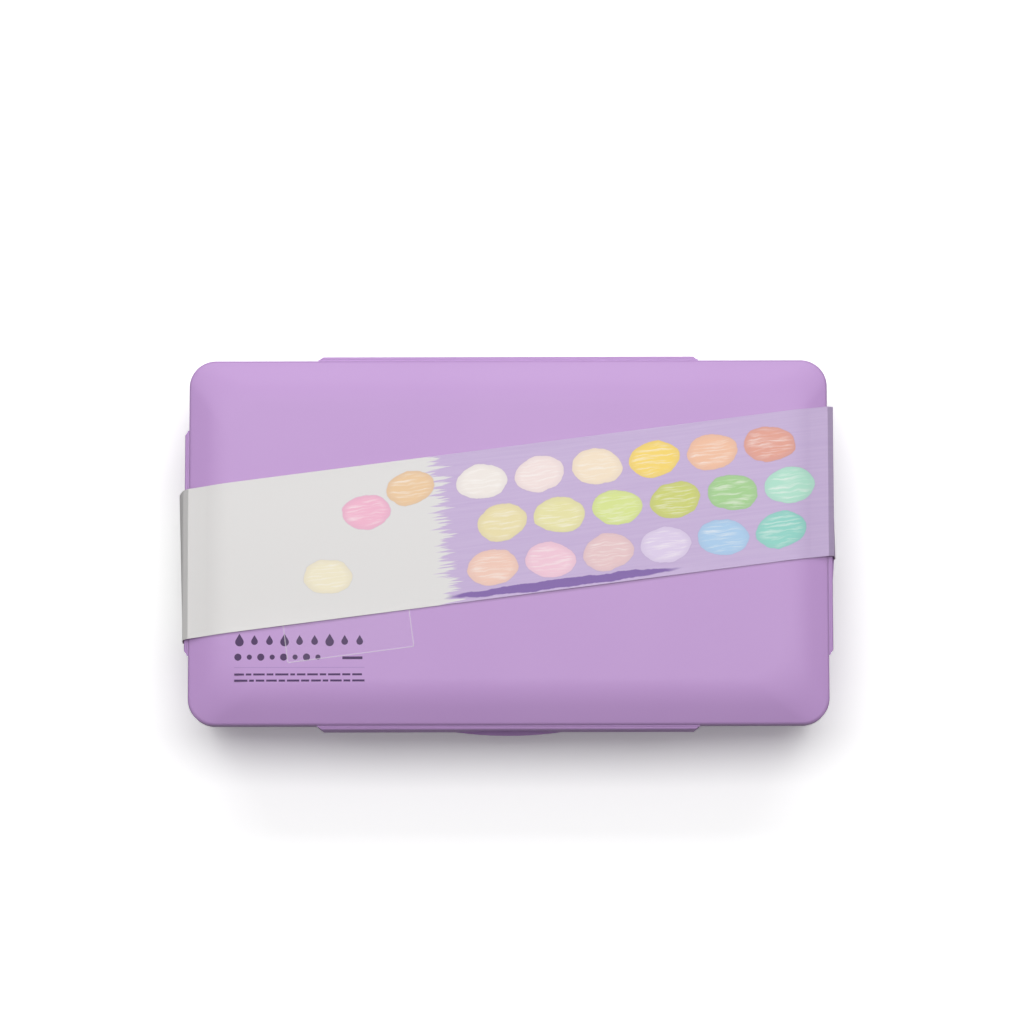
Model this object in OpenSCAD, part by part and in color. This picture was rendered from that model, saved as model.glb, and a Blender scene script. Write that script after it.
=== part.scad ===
// Gouache paint set box: a moulded tray of paint cups under a softly domed lid, four swing
// latches on the lid's sides, and a slanted card band around the closed case.
// Millimetres, +Z up. Origin: centre of the case, on the plane that its feet stand on.
// Left is -X, the front with the brush channel is -Y.

/* [Paint cups] */
// Cups side by side from left to right
cup_columns = 6; // [3:1:6]
// Rows of cups from back to front
cup_rows = 3; // [1:1:3]
// Width of a cup's flange
cup_w = 48.2; // [38:0.1:60]
// Depth of a cup's flange
cup_d = 43.4; // [34:0.1:54]
// Height of a cup
cup_h = 33.4; // [26:0.1:42]
// Corner radius of a cup's flange
cup_corner_r = 5; // [3:0.5:8]
// Thickness of a cup's flange
cup_flange_t = 1; // [0.6:0.1:2]
// Overhang of the flange past the cup's body
cup_flange_out = 2; // [1:0.1:2.6]
// Wall of a cup
cup_wall = 0.9; // [0.6:0.1:1.6]
// Taper of a cup's body on each side, from top to bottom
cup_taper = 2.3; // [0:0.1:4]
// Gap between two cups' flanges
cup_gap = 0.6; // [0.3:0.1:2]
// Play between the cups and the tray's walls
cup_play = 0.75; // [0.3:0.05:2]

/* [Paint and films] */
// Depth of the paint's surface below the flange
paint_below = 2.2; // [0.5:0.1:8]
// Gap between the paint and its cup's wall
paint_gap = 0.03; // [0.01:0.01:0.1]
// Thickness of a seal film
film_t = 0.15; // [0.1:0.05:0.4]
// Distance from the flange's edge to the film's edge
film_inset = 0.4; // [0:0.1:1]

/* [Tray] */
// Thickness of the tray's floor
floor_t = 2.2; // [1.6:0.1:4]
// Depth of the brush channel from front to back
channel_d = 28.7; // [18:0.1:45]
// Thickness of the wall between the channel and the cups
partition_t = 2.4; // [1.6:0.1:5]
// Thickness of the tray's upright rim
rim_t = 2.4; // [1.8:0.1:4]
// Height of the rim's top above the cups' flanges
rim_above_cups = 3; // [2:0.1:8]
// Height of the rim above the ledge that the latches hook under
rim_above_ledge = 4; // [3:0.1:8]
// Thickness of the ledge
ledge_t = 2; // [1.4:0.1:3]
// Distance from the lid's side in to the ledge's edge
ledge_inset = 0.3; // [0:0.1:0.8]
// Draft of the tray's outer wall on each side
tray_draft = 1.3; // [0:0.1:4]
// Radius of the tray's bottom edge
tray_edge_r = 3; // [1:0.5:5]
// Height of the ribs that locate the cups' bottoms
locating_rib_h = 5; // [2:0.5:10]
// Thickness of those ribs
locating_rib_t = 1.6; // [1:0.1:3]
// Height of the feet
foot_h = 1.3; // [1.2:0.1:4]
// Radius of the feet
foot_r = 5; // [3:0.5:8]
// Distance from the tray's bottom edge to a foot's edge
foot_inset = 2; // [0:0.5:6]

/* [Lid] */
// Wall of the lid
lid_wall = 2.2; // [1.6:0.1:3]
// Corner radius of the lid seen from above
lid_corner_r = 12.5; // [10.5:0.5:20]
// Height of the lid's upright side
lid_side_h = 10.2; // [9:0.1:16]
// Height of the domed crown above the side
crown_h = 7.2; // [4:0.1:14]
// Width of the crown's slope, from the lid's edge to its flat top
crown_w = 22; // [12:0.5:28]
// Corner radius of the flat top
plateau_r = 18; // [12:0.5:24]
// Play between the lid's skirt and the tray's rim
rim_play = 0.35; // [0.2:0.05:0.8]
// Gap between the skirt's bottom and the ledge
skirt_gap = 0.3; // [0.1:0.05:1]
// Thickness of the shelf that backs the gasket
seat_t = 1.6; // [1:0.1:3]
// Thickness of the gasket channel's inner lip
seat_lip_t = 1.2; // [0.8:0.1:2]
// Depth that the inner lip reaches below the rim's top
seat_lip_drop = 1.5; // [0:0.1:1.8]

/* [Gasket] */
// Width of the gasket
gasket_w = 3.2; // [2.9:0.1:4.5]
// Height of the gasket
gasket_t = 1.8; // [1:0.1:3]
// Gap between the gasket and the rim before the latches press it down
gasket_gap = 0.1; // [0.05:0.05:0.3]

/* [Latches] */
// Length of the front and the back latch
latch_long = 181; // [120:0.5:200]
// Length of the two side latches
latch_short = 107.6; // [70:0.1:120]
// Thickness of a latch, and so the diameter of its hinge bead
latch_t = 1.8; // [1.2:0.1:3]
// Gap between a latch and the lid's side
latch_gap = 0.3; // [0.2:0.05:1]
// Height of the hinge axis below the crown's edge
hinge_drop = 1.4; // [1.3:0.1:3]
// Length of a latch from its hinge axis to its bottom edge
latch_h = 18; // [15:0.5:24]
// Length of the slanted ends of a latch
latch_end = 2.4; // [0.5:0.1:4]
// Depth of the hollow in a latch's outer face
latch_hollow = 0.5; // [0:0.1:0.8]
// Play between the hinge bead and the lid's gutter
hinge_play = 0.08; // [0.05:0.01:0.2]
// Width of the gutter's wall past the bead
gutter_t = 0.3; // [0.2:0.05:0.6]
// Reach of the hook past the lid's side
hook_reach = 1.7; // [1:0.1:2.2]
// Height of the hook where it joins the latch
hook_h = 3.4; // [2:0.1:4.5]
// Height of the hook's tip
hook_tip_h = 1; // [0.4:0.1:2]
// Gap between the hook and the ledge's underside
hook_play = 0.25; // [0.1:0.05:0.5]
// Distance from a latch's end to its hook
hook_inset = 12; // [4:1:30]
// Width of the finger lip
finger_w = 51; // [30:1:60]
// Reach of the finger lip past the latch
finger_out = 1.8; // [0.5:0.1:3]
// Height of the finger lip
finger_h = 2.6; // [1.5:0.1:5]

/* [Card band] */
// Width of the band along the case's sides
band_w = 71.4; // [50:0.1:80]
// Slant of the band across the lid, in degrees
band_slant = 7.3; // [0:0.1:9]
// Distance from the lid's centre back to the middle of the band
band_back = 9.1; // [-15:0.1:15]
// Thickness of the card
card_t = 0.35; // [0.2:0.05:0.6]
// Gap between the card and the case
card_gap = 0.3; // [0.2:0.05:1]
// Width of the glued lap under the case
lap_w = 15; // [8:1:25]
// Distance from the case's middle to the lap
lap_x = 60; // [0:5:90]

/* [Clear tab] */
// Length of the clear adhesive tab that tacks the band to the lid
tab_w = 60.4; // [30:0.1:90]
// Width of the tab
tab_d = 30; // [18:0.5:45]
// Part of that width that shows in front of the band
tab_shown = 16.2; // [5:0.1:17]
// Distance from the lid's centre left to the middle of the tab
tab_left = 76; // [40:1:85]
// Thickness of the tab
tab_t = 0.08; // [0.05:0.01:0.15]
// Corner radius of the tab
tab_corner_r = 0.8; // [0.2:0.1:3]

/* [Hidden] */
$fn = 64;
HULL_FN = 32;
SKIN = 0.01;                     // thickness of the slices that a hull is stretched over
EMBED = 0.5;                     // depth by which a piece's own features run into each other
OVER = 1;                        // length by which a cutting shape runs past what it cuts
CROWN_STEPS = 7;
BAND_STEP = 15;                  // degrees of the crown between two of the band's bends
HOLLOW_STEPS = 8;

FRONT = 0;
RIGHT = 1;
BACK = 2;
LEFT = 3;

PAINT_COLOURS = [
    ["#F3F0E9", "#EBDDD8", "#EBD6C0", "#F0C64E", "#E8A582", "#D67F76"],
    ["#DFCFB4", "#E1D9AE", "#D3DE96", "#BFC566", "#93BA7C", "#A5DAC4"],
    ["#E6C3B5", "#E9C6CE", "#DCC2C6", "#D2C3DE", "#ABC6DC", "#8DC6C6"]];
FILM_ROWS = ["seal_films_back", "seal_films_middle", "seal_films_front"];

// plan sizes, from the cups outwards
pitch_x = cup_w + cup_gap;
pitch_y = cup_d + cup_gap;
tray_in_w = cup_columns * pitch_x - cup_gap + 2 * cup_play;
bay_d = cup_rows * pitch_y - cup_gap + 2 * cup_play;
tray_in_d = bay_d + partition_t + channel_d;
rim_w = tray_in_w + 2 * rim_t;
rim_d = tray_in_d + 2 * rim_t;
rim_inset = lid_wall + rim_play;
lid_w = rim_w + 2 * rim_inset;
lid_d = rim_d + 2 * rim_inset;
bay_y = (tray_in_d - bay_d) / 2;
channel_y = (channel_d - tray_in_d) / 2;

// heights, from the floor up
floor_z = foot_h + floor_t;
flange_z = floor_z + cup_h;
rim_z = flange_z + rim_above_cups;
ledge_z = rim_z - rim_above_ledge;
skirt_z = ledge_z + skirt_gap;
crown_z = skirt_z + lid_side_h;
lid_z = crown_z + crown_h;
gasket_z = rim_z + gasket_gap;
seat_z = gasket_z + gasket_t;
hinge_z = crown_z - hinge_drop;
latch_z = hinge_z - latch_h;
hook_z = ledge_z - ledge_t - hook_play;

// places measured outwards from the lid's side
hinge_out = latch_gap + latch_t / 2;
latch_out = latch_gap + latch_t;
finger_reach = latch_out + finger_out;

// the band's loop
band_side_x = lid_w / 2 + finger_reach + card_gap;
band_shoulder_x = lid_w / 2 + latch_out + card_gap;
band_low_x = rim_w / 2 - tray_draft + card_gap;
band_low_z = foot_h - card_gap / 2;

function cup_name(row, column) = str("cup_", row + 1, "_", column + 1);
function paint_name(row, column) = str("gouache_", row + 1, "_", column + 1);

// ---- shared shapes

module rounded_rect(w, d, r) {
    square([w - 2 * r, d], center = true);
    square([w, d - 2 * r], center = true);
    for (x = [-1, 1], y = [-1, 1])
        translate([x * (w / 2 - r), y * (d / 2 - r)])
            circle(r = r);
}

module slab(w, d, r, z, h) {
    translate([0, 0, z])
        linear_extrude(h)
            rounded_rect(w, d, r);
}

// the lid's outline drawn in by an inset, as a slab
module lid_slab(inset, z, h) {
    slab(lid_w - 2 * inset, lid_d - 2 * inset, lid_corner_r - inset, z, h);
}

module lid_ring(outer_inset, inner_inset, z, h) {
    difference() {
        lid_slab(outer_inset, z, h);
        lid_slab(inner_inset, z - OVER, h + 2 * OVER);
    }
}

// upright side and elliptical crown of the lid, drawn in by an inset
module dome(inset, bottom_z) {
    hull() {
        translate([0, 0, bottom_z])
            linear_extrude(crown_z - bottom_z)
                rounded_rect(lid_w - 2 * inset, lid_d - 2 * inset, lid_corner_r - inset, $fn = HULL_FN);
        for (step = [1 : CROWN_STEPS]) {
            angle = 90 * step / CROWN_STEPS;
            slope = 1 - cos(angle);
            side = inset + crown_w * slope;
            corner = lid_corner_r - inset + (plateau_r - lid_corner_r + inset) * slope;
            translate([0, 0, crown_z - inset + crown_h * sin(angle) - SKIN])
                linear_extrude(SKIN)
                    rounded_rect(lid_w - 2 * side, lid_d - 2 * side, corner, $fn = HULL_FN);
        }
    }
}

// stands its child on one side of the lid: X runs along the side, -Y points away from the lid
module on_side(side) {
    rotate([0, 0, 90 * side])
        translate([0, side % 2 == 0 ? -lid_d / 2 : -lid_w / 2, 0])
            children();
}

// extrudes a profile of [y, z] points along X
module along_x(length) {
    translate([-length / 2, 0, 0])
        rotate([90, 0, 90])
            linear_extrude(length)
                children();
}

module at_cup(row, column) {
    translate([(column - (cup_columns - 1) / 2) * pitch_x,
            tray_in_d / 2 - cup_play - cup_d / 2 - row * pitch_y, floor_z])
        children();
}

// ---- tray

module tray_body() {
    edge_slope = [0, 30, 60, 90];
    hull() {
        for (angle = edge_slope) {
            side = rim_inset + tray_draft + tray_edge_r * (1 - sin(angle));
            translate([0, 0, foot_h + tray_edge_r * (1 - cos(angle))])
                linear_extrude(SKIN)
                    rounded_rect(lid_w - 2 * side, lid_d - 2 * side, lid_corner_r - side, $fn = HULL_FN);
        }
        translate([0, 0, ledge_z - ledge_t])
            linear_extrude(SKIN)
                rounded_rect(rim_w, rim_d, lid_corner_r - rim_inset, $fn = HULL_FN);
    }
    lid_slab(rim_inset, ledge_z - ledge_t, rim_z - ledge_z + ledge_t);
    lid_slab(ledge_inset, ledge_z - ledge_t, ledge_t);
}

module tray_hollow() {
    corner = lid_corner_r - rim_inset - rim_t;
    translate([0, bay_y, 0])
        slab(tray_in_w, bay_d, corner, floor_z, rim_z);
    translate([0, channel_y, 0])
        slab(tray_in_w, channel_d, corner, floor_z, rim_z);
    slab(tray_in_w, tray_in_d, corner, flange_z, rim_z);
}

module locating_ribs() {
    for (column = [1 : cup_columns - 1])
        translate([(column - cup_columns / 2) * pitch_x - locating_rib_t / 2, bay_y - bay_d / 2, foot_h + EMBED])
            cube([locating_rib_t, bay_d, floor_t - EMBED + locating_rib_h]);
    if (cup_rows > 1)
        for (row = [1 : cup_rows - 1])
            translate([-tray_in_w / 2, tray_in_d / 2 - cup_play + cup_gap / 2 - row * pitch_y
                    - locating_rib_t / 2, foot_h + EMBED])
                cube([tray_in_w, locating_rib_t, floor_t - EMBED + locating_rib_h]);
}

module feet() {
    foot_x = rim_w / 2 - tray_draft - tray_edge_r - foot_inset - foot_r;
    foot_y = rim_d / 2 - tray_draft - tray_edge_r - foot_inset - foot_r;
    for (x = [-foot_x, foot_x], y = [-foot_y, foot_y])
        translate([x, y, 0])
            cylinder(r = foot_r, h = foot_h + EMBED);
}

module base_tray() color("#BFA3D4") {
    difference() {
        tray_body();
        tray_hollow();
    }
    locating_ribs();
    feet();
}

// ---- cups, paint and films

// the body of a cup, or its hollow, drawn in from the outer wall
module cup_form(drawn_in, bottom, top) {
    w = cup_w - 2 * cup_flange_out - 2 * drawn_in;
    d = cup_d - 2 * cup_flange_out - 2 * drawn_in;
    top_r = cup_corner_r - drawn_in;
    hull() {
        for (level = [bottom, top]) {
            narrow = cup_taper * (1 - level / cup_h);
            translate([0, 0, level == top ? level - SKIN : level])
                linear_extrude(SKIN)
                    rounded_rect(w - 2 * narrow, d - 2 * narrow, top_r, $fn = HULL_FN);
        }
    }
}

module cup(row, column) color("#EDE9EC") {
    at_cup(row, column)
        difference() {
            union() {
                cup_form(0, 0, cup_h - cup_flange_t / 2);
                slab(cup_w, cup_d, cup_corner_r, cup_h - cup_flange_t, cup_flange_t);
            }
            cup_form(cup_wall, cup_wall, cup_h + OVER);
        }
}

module gouache(row, column) color(PAINT_COLOURS[row][column]) {
    at_cup(row, column)
        cup_form(cup_wall + paint_gap, cup_wall, cup_h - paint_below);
}

module seal_films(row) color("#F4F4F6", 0.4) {
    for (column = [0 : cup_columns - 1])
        at_cup(row, column)
            slab(cup_w - 2 * film_inset, cup_d - 2 * film_inset, cup_corner_r - film_inset, cup_h, film_t);
}

// ---- lid and gasket

// a rib with a hollow that the latch's bead turns in, in place of the moulded web
module hinge_gutter(length) {
    top = latch_t / 2 + gutter_t;
    difference() {
        translate([-length / 2, -hinge_out + latch_t / 2 - EMBED, hinge_z])
            cube([length, hinge_out - latch_t / 2 + 2 * EMBED, top]);
        hinge_bead(length + 2 * OVER, hinge_play);
    }
}

module lid() color("#C3A3D4") {
    difference() {
        dome(0, skirt_z);
        dome(lid_wall, skirt_z - OVER);
    }
    lid_ring(lid_wall - EMBED, lid_wall + gasket_w, seat_z, seat_t);
    lid_ring(lid_wall + gasket_w, lid_wall + gasket_w + seat_lip_t, rim_z - seat_lip_drop,
        seat_z + seat_t - rim_z + seat_lip_drop);
    for (side = [FRONT, BACK])
        on_side(side) hinge_gutter(latch_long);
    for (side = [LEFT, RIGHT])
        on_side(side) hinge_gutter(latch_short);
}

module lid_gasket() color("#E4DDE8") {
    lid_ring(lid_wall + card_t, lid_wall + gasket_w, gasket_z, gasket_t);
}

// ---- latches

module hinge_bead(length, play) {
    translate([-length / 2, -hinge_out, hinge_z])
        rotate([0, 90, 0])
            cylinder(r = latch_t / 2 + play, h = length);
}

module latch_panel() {
    face_h = latch_h - finger_h;
    polygon(concat(
        [[-latch_gap, hinge_z], [-latch_gap, latch_z], [-latch_out, latch_z]],
        [for (step = [0 : HOLLOW_STEPS])
            [-latch_out + latch_hollow * sin(180 * step / HOLLOW_STEPS),
                latch_z + finger_h + face_h * step / HOLLOW_STEPS]]));
}

module latch_hook() {
    polygon([[-latch_gap - EMBED, hook_z], [hook_reach, hook_z], [hook_reach, hook_z - hook_tip_h],
        [-latch_gap - EMBED, hook_z - hook_h]]);
}

// the latch seen from above, with its slanted ends
module latch_plan(length) {
    end = length / 2 - latch_end;
    polygon([[-length / 2, hook_reach], [-length / 2, -latch_gap], [-end, -latch_out],
        [-end, -finger_reach], [end, -finger_reach], [end, -latch_out],
        [length / 2, -latch_gap], [length / 2, hook_reach]]);
}

module finger_lip() {
    radius = (pow(finger_w / 2, 2) + pow(finger_out, 2)) / (2 * finger_out);
    translate([0, 0, latch_z])
        linear_extrude(finger_h)
            intersection() {
                translate([0, -finger_reach + radius])
                    circle(r = radius);
                translate([-finger_w / 2, -finger_reach])
                    square([finger_w, finger_out + EMBED]);
            }
}

module latch(side, length) color("#B593CC") {
    on_side(side) {
        intersection() {
            union() {
                along_x(length) latch_panel();
                hinge_bead(length, 0);
                along_x(length - 2 * hook_inset) latch_hook();
            }
            translate([0, 0, latch_z - OVER])
                linear_extrude(latch_h + latch_t + 2 * OVER)
                    latch_plan(length);
        }
        finger_lip();
    }
}

module latch_front() latch(FRONT, latch_long);
module latch_right() latch(RIGHT, latch_short);
module latch_back() latch(BACK, latch_long);
module latch_left() latch(LEFT, latch_short);

// ---- card band

// right half of the loop, from the middle of the lid round to the middle of the floor
function band_half(out) = concat(
    [for (angle = [90 : -BAND_STEP : BAND_STEP])
        [lid_w / 2 - crown_w + (crown_w + out) * cos(angle), crown_z + (crown_h + out) * sin(angle)]],
    [[band_shoulder_x - card_gap + out, crown_z + out - card_gap],
        [band_side_x - card_gap + out, latch_z + 2 * finger_h],
        [band_side_x - card_gap + out, latch_z - finger_h],
        [band_low_x - card_gap + out, band_low_z + card_gap - out]]);

function mirrored(points) = [for (i = [len(points) - 1 : -1 : 0]) [-points[i][0], points[i][1]]];

module band_loop(out) {
    half = band_half(out);
    polygon(concat(half, mirrored(half)));
}

// the loop drawn out along Y, before its edges are cut
module band_tube() {
    rotate([90, 0, 0])
        linear_extrude(2 * lid_d, center = true)
            difference() {
                band_loop(card_gap + card_t);
                band_loop(card_gap);
            }
    translate([lap_x, -lid_d, band_low_z - 2 * card_t])
        cube([lap_w, 2 * lid_d, card_t + card_t / 2]);
}

module card_band() color("#E9E8E6") {
    reach = band_side_x + OVER;
    rise = reach * tan(band_slant);
    intersection() {
        band_tube();
        translate([0, band_back, -OVER])
            linear_extrude(lid_z + 2 * OVER + card_t)
                polygon([[-reach, -rise - band_w / 2], [reach, rise - band_w / 2],
                    [reach, rise + band_w / 2], [-reach, -rise + band_w / 2]]);
    }
}

// a clear adhesive tab on the lid's flat top, half of it under the band's front edge
module clear_tab() color("#DCC8E8", 0.5) {
    translate([0, band_back, lid_z])
        rotate([0, 0, band_slant])
            translate([-tab_left, -band_w / 2 * cos(band_slant) + tab_d / 2 - tab_shown, 0])
                linear_extrude(tab_t)
                    rounded_rect(tab_w, tab_d, tab_corner_r);
}

base_tray();
lid();
lid_gasket();
latch_front();
latch_right();
latch_back();
latch_left();
card_band();
clear_tab();
for (row = [0 : cup_rows - 1]) {
    seal_films(row);
    for (column = [0 : cup_columns - 1]) {
        cup(row, column);
        gouache(row, column);
    }
}
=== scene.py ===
import math

import bmesh
import bpy
from mathutils import Matrix, Vector, noise


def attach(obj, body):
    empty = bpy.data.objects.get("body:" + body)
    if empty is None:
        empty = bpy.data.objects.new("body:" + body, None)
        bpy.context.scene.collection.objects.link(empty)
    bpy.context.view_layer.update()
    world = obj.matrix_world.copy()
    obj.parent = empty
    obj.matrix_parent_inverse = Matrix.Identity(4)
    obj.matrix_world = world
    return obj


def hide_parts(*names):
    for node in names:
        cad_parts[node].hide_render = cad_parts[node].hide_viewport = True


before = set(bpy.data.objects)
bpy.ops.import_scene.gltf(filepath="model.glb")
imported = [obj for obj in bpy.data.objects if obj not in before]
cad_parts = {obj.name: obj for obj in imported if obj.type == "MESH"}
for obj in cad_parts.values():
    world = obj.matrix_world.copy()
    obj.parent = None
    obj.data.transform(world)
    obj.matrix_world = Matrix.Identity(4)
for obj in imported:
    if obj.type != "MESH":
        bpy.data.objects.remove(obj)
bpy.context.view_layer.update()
print("frame loaded")

mm = 0.001

# the closed case in millimetres: right is +X, the back +Y, and Z starts at the plane under the feet
caseSize = {
    "lidWidth": 303.6,
    "lidDepth": 173.9,
    "lidCorner": 12.5,
    "crownBottom": 46.4,
    "crownWidth": 22.0,
    "crownSlope": 21.2,
    "crownEase": 14.0,
    "crownEdge": 2.0,
    "crownEdgeSteps": 8,
    "plateauCorner": 18.0,
    "hingeHeight": 45.0,
    "hingeOut": 1.2,
    "cupFloor": 3.5,
    "cupPitchX": 48.8,
    "cupPitchY": 44.0,
    "cupBackRow": 59.55,
}


# small helpers


def linearColour(hexCode):
    channels = [int(hexCode[place:place + 2], 16) / 255 for place in (1, 3, 5)]
    return [c / 12.92 if c <= 0.04045 else ((c + 0.055) / 1.055) ** 2.4 for c in channels] + [1.0]


def addNode(tree, kind, inputs=None, **settings):
    node = tree.nodes.new(kind)
    for key, value in settings.items():
        setattr(node, key, value)
    for key, value in (inputs or {}).items():
        if isinstance(value, bpy.types.NodeSocket):
            tree.links.new(value, node.inputs[key])
        else:
            node.inputs[key].default_value = value
    return node


def addObject(name, data):
    made = bpy.data.objects.new(name, data)
    bpy.context.scene.collection.objects.link(made)
    return made


def newMaterial(name):
    # an empty material, its node tree, and the Object coordinates that its patterns read
    material = bpy.data.materials.new(name)
    material.use_nodes = True
    tree = material.node_tree
    tree.nodes.clear()
    return material, tree, addNode(tree, "ShaderNodeTexCoord").outputs["Object"]


def finishMaterial(material, surface):
    addNode(material.node_tree, "ShaderNodeOutputMaterial", {"Surface": surface.outputs[0]})
    return material


def roundedRing(width, depth, radius, height, cornerSteps, sideSteps=1):
    # one turn of a rounded rectangle, anticlockwise, in millimetres in and metres out
    ring = []
    signs = ((1, 1), (-1, 1), (-1, -1), (1, -1))
    for quarter, (signX, signY) in enumerate(signs):
        middle = (signX * (width / 2 - radius), signY * (depth / 2 - radius))
        for step in range(cornerSteps + 1):
            angle = math.radians(90 * (quarter + step / cornerSteps))
            ring.append((middle[0] + radius * math.cos(angle), middle[1] + radius * math.sin(angle)))
        # the straight side to the next corner, in equal steps
        start = ring[-1]
        nextX, nextY = signs[(quarter + 1) % 4]
        angle = math.radians(90 * (quarter + 1))
        end = (nextX * (width / 2 - radius) + radius * math.cos(angle),
            nextY * (depth / 2 - radius) + radius * math.sin(angle))
        for step in range(1, sideSteps):
            share = step / sideSteps
            ring.append([start[i] + (end[i] - start[i]) * share for i in (0, 1)])
    return [Vector((x, y, height)) * mm for x, y in ring]


def loft(rings, closed=False):
    # skins rings that have the same number of points; an open row of rings gets a cap at each end
    count = len(rings[0])
    vertices = [point for ring in rings for point in ring]
    faces = []
    for level in range(len(rings) if closed else len(rings) - 1):
        here = level * count
        above = (level + 1) % len(rings) * count
        for corner in range(count):
            following = (corner + 1) % count
            faces.append((here + corner, here + following, above + following, above + corner))
    if not closed:
        faces.append(tuple(range(count)))
        faces.append(tuple(range(len(vertices) - count, len(vertices))))
    return vertices, faces


def prism(outline, start, end, place):
    # draws a flat outline out from start to end; place makes a point of that distance and a corner
    count = len(outline)
    vertices = [place(start, *point) for point in outline] + [place(end, *point) for point in outline]
    faces = [(i, (i + 1) % count, count + (i + 1) % count, count + i) for i in range(count)]
    faces.append(tuple(range(count)))
    faces.append(tuple(range(count, 2 * count)))
    return vertices, faces


def buildPiece(name, parts, materials, sharpAngle=35):
    # parts are (vertices, faces), with the number of the first face that has the second material, if any
    shape = bmesh.new()
    for vertices, faces, *split in parts:
        made = [shape.verts.new(point) for point in vertices]
        secondFrom = split[0] if split else len(faces)
        for i, face in enumerate(faces):
            shape.faces.new([made[j] for j in face]).material_index = int(i >= secondFrom)
    bmesh.ops.recalc_face_normals(shape, faces=shape.faces)
    return dressPiece(name, shape, materials, sharpAngle)


def dressPiece(name, shape, materials, sharpAngle):
    mesh = bpy.data.meshes.new(name)
    shape.to_mesh(mesh)
    shape.free()
    for material in materials:
        mesh.materials.append(material)
    mesh.shade_smooth()
    mesh.set_sharp_from_angle(angle=math.radians(sharpAngle))
    return addObject(name, mesh)


def roundedCopy(name, node, materials, radius):
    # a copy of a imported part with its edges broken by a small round, as a mould leaves them
    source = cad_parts[node]
    shape = bmesh.new()
    shape.from_mesh(source.data)
    shape.transform(source.matrix_world)
    bmesh.ops.remove_doubles(shape, verts=shape.verts, dist=edgeRounds["mergeWithin"] * mm)
    flat = math.radians(edgeRounds["flatWithin"])
    bmesh.ops.dissolve_limit(shape, angle_limit=flat, verts=shape.verts, edges=shape.edges)
    for face in shape.faces:
        face.material_index = 0
    piece = dressPiece(name, shape, materials, edgeRounds["sharpFrom"])
    bevel = piece.modifiers.new("brokenEdges", "BEVEL")
    bevel.width = radius * mm
    bevel.segments = 2
    bevel.limit_method = "ANGLE"
    bevel.angle_limit = math.radians(edgeRounds["sharpFrom"])
    bevel.use_clamp_overlap = True
    bevel.harden_normals = True
    return piece


def settle(piece, body, slotName, *nodes):
    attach(piece, body)
    if nodes:
        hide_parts(*nodes)
    print("made", piece.name)


# camera, at the photograph's angle

cameraView = {
    "place": (11.675, -237.308, 2246.0),
    "tilt": 6.5288,
    "turn": -0.25664,
    "roll": -0.08815,
    "lens": 163.83,
}


def makeCamera():
    tilt = math.radians(cameraView["tilt"])
    roll = math.radians(cameraView["roll"])
    turn = math.radians(cameraView["turn"])
    ahead = Vector((math.sin(turn), math.sin(tilt), -math.cos(tilt))).normalized()
    right = ahead.cross(Vector((0.0, 1.0, 0.0))).normalized()
    up = right.cross(ahead)
    rolledRight = right * math.cos(roll) + up * math.sin(roll)
    rolledUp = up * math.cos(roll) - right * math.sin(roll)
    data = bpy.data.cameras.new("photoCamera")
    data.sensor_width = 36.0
    data.lens = cameraView["lens"]
    data.clip_start = 0.1
    data.clip_end = 20.0
    camera = addObject("photoCamera", data)
    turned = Matrix((rolledRight, rolledUp, -ahead)).transposed()
    camera.matrix_world = Matrix.Translation(Vector(cameraView["place"]) * mm) @ turned.to_4x4()
    bpy.context.scene.camera = camera


makeCamera()
print("camera placed")


# satin moulded plastic of the lid, the latches and the tray

plasticLook = {
    "colour": "#BC94CE",
    "paler": "#C19BD2",
    "driftSize": 70.0,
    "roughness": 0.40,
    "roughnessSpread": 0.05,
    "grainSize": 0.9,
    "grainHeight": 0.006,
}


def makeMouldedPolypropylene(name, look):
    # moulded polypropylene, spark-eroded mould: a soft wide sheen over a very fine even grain,
    # drawn about twice as coarse as the real one so that it still shows
    material, tree, place = newMaterial(name)
    drift = addNode(tree, "ShaderNodeTexNoise",
        {"Vector": place, "Scale": 1 / (look["driftSize"] * mm), "Detail": 2.0, "Roughness": 0.45})
    tone = addNode(tree, "ShaderNodeMix",
        {0: drift.outputs["Fac"], 6: linearColour(look["colour"]), 7: linearColour(look["paler"])},
        data_type="RGBA")
    grain = addNode(tree, "ShaderNodeTexNoise",
        {"Vector": place, "Scale": 1 / (look["grainSize"] * mm), "Detail": 3.0, "Roughness": 0.6})
    gloss = addNode(tree, "ShaderNodeMapRange",
        {"Value": grain.outputs["Fac"], "From Min": 0.3, "From Max": 0.7,
            "To Min": look["roughness"] - look["roughnessSpread"],
            "To Max": look["roughness"] + look["roughnessSpread"]})
    bump = addNode(tree, "ShaderNodeBump",
        {"Height": grain.outputs["Fac"], "Strength": 1.0, "Distance": look["grainHeight"] * mm})
    surface = addNode(tree, "ShaderNodeBsdfPrincipled",
        {"Base Color": tone.outputs[2], "Roughness": gloss.outputs[0], "IOR": 1.49,
            "Normal": bump.outputs["Normal"]})
    return finishMaterial(material, surface)


lidPlastic = makeMouldedPolypropylene("mouldedPolypropyleneLid", plasticLook)
trayPlastic = makeMouldedPolypropylene("mouldedPolypropyleneTray", {**plasticLook, "colour": "#B990CB"})


# lid: one lofted shell with its gasket channel, and the gutters of the four hinges

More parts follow.
